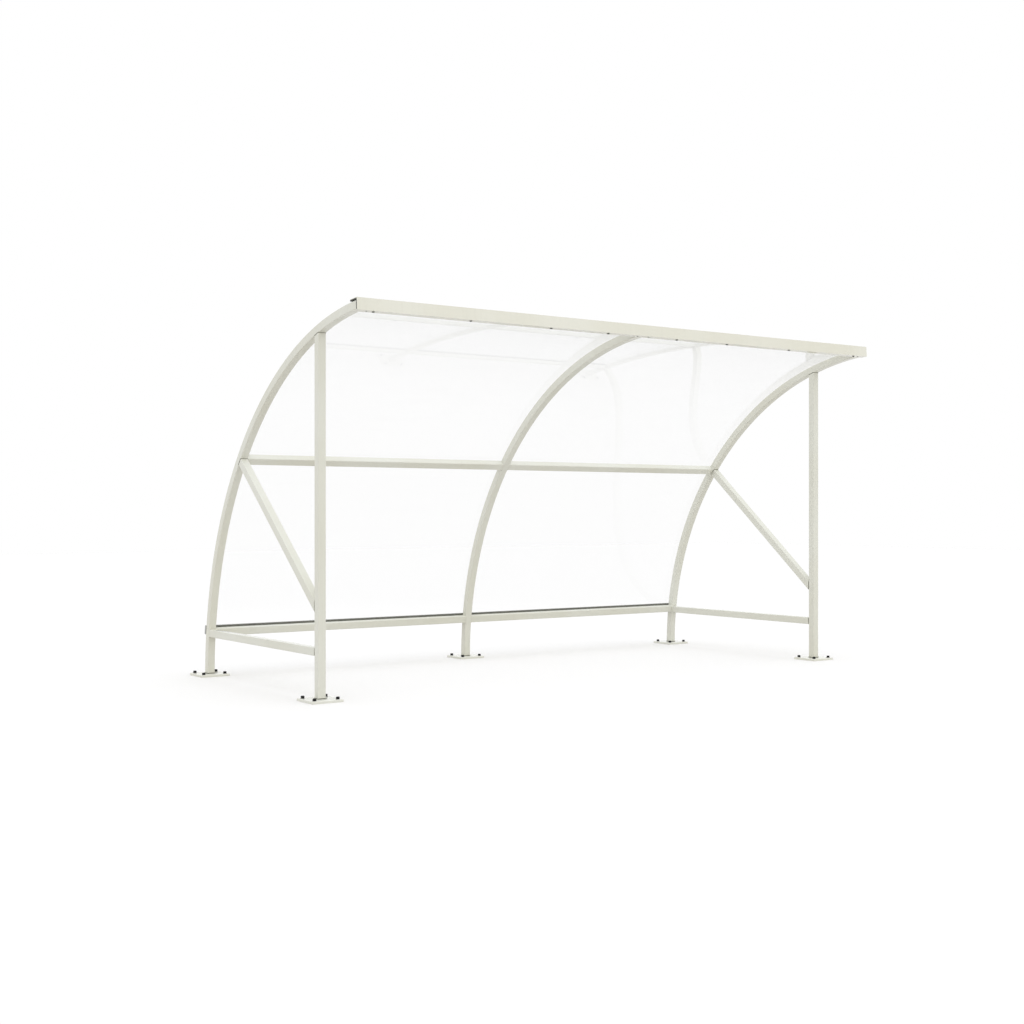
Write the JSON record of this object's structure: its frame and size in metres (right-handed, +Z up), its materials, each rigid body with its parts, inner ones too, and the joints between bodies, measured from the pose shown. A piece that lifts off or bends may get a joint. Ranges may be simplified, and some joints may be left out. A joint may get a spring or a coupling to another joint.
{
  "type": "bike shelter",
  "caption": "Open-fronted bike shelter with curved square-tube hoops on bolted base plates, clear curved roof sheets, end braces and a folded front fascia.",
  "frame": {"origin": "on the ground under the middle of the shelter", "axes": "+X along the width, +Z up, the open front faces -Y"},
  "size_m": [4.3, 2.1894, 2.2838],
  "materials": {
    "frame_paint": "satin cream powder coat on steel tube",
    "clear_sheet": "clear glossy plastic sheet",
    "clamp_rail": "grey paint",
    "joint_plate": "dark grey paint",
    "cap_plastic": "matte black moulding",
    "seal_rubber": "matte black foam rubber"
  },
  "bodies": {
    "root": {"hoop_left": "frame_paint", "hoop_cap_left": "cap_plastic", "base_plate_rear_left": "frame_paint", "hoop_middle": "frame_paint", "hoop_cap_middle": "cap_plastic", "base_plate_rear_middle": "frame_paint", "hoop_right": "frame_paint", "hoop_cap_right": "cap_plastic", "base_plate_rear_right": "frame_paint", "front_post_left": "frame_paint", "base_plate_front_left": "frame_paint", "mid_rail_left": "frame_paint", "low_rail_left": "frame_paint", "side_rail_left": "frame_paint", "brace_left": "frame_paint", "side_rail_end_plate_left": "joint_plate", "brace_end_plate_left": "joint_plate", "roof_sheet_left": "clear_sheet", "front_post_right": "frame_paint", "base_plate_front_right": "frame_paint", "mid_rail_right": "frame_paint", "low_rail_right": "frame_paint", "side_rail_right": "frame_paint", "brace_right": "frame_paint", "side_rail_end_plate_right": "joint_plate", "brace_end_plate_right": "joint_plate", "roof_sheet_right": "clear_sheet", "clamp_rail": "clamp_rail", "clamp_cap_left": "clamp_rail", "clamp_cap_right": "clamp_rail", "fascia": "frame_paint", "seal_strip": "seal_rubber"}
  },
  "joints": []
}
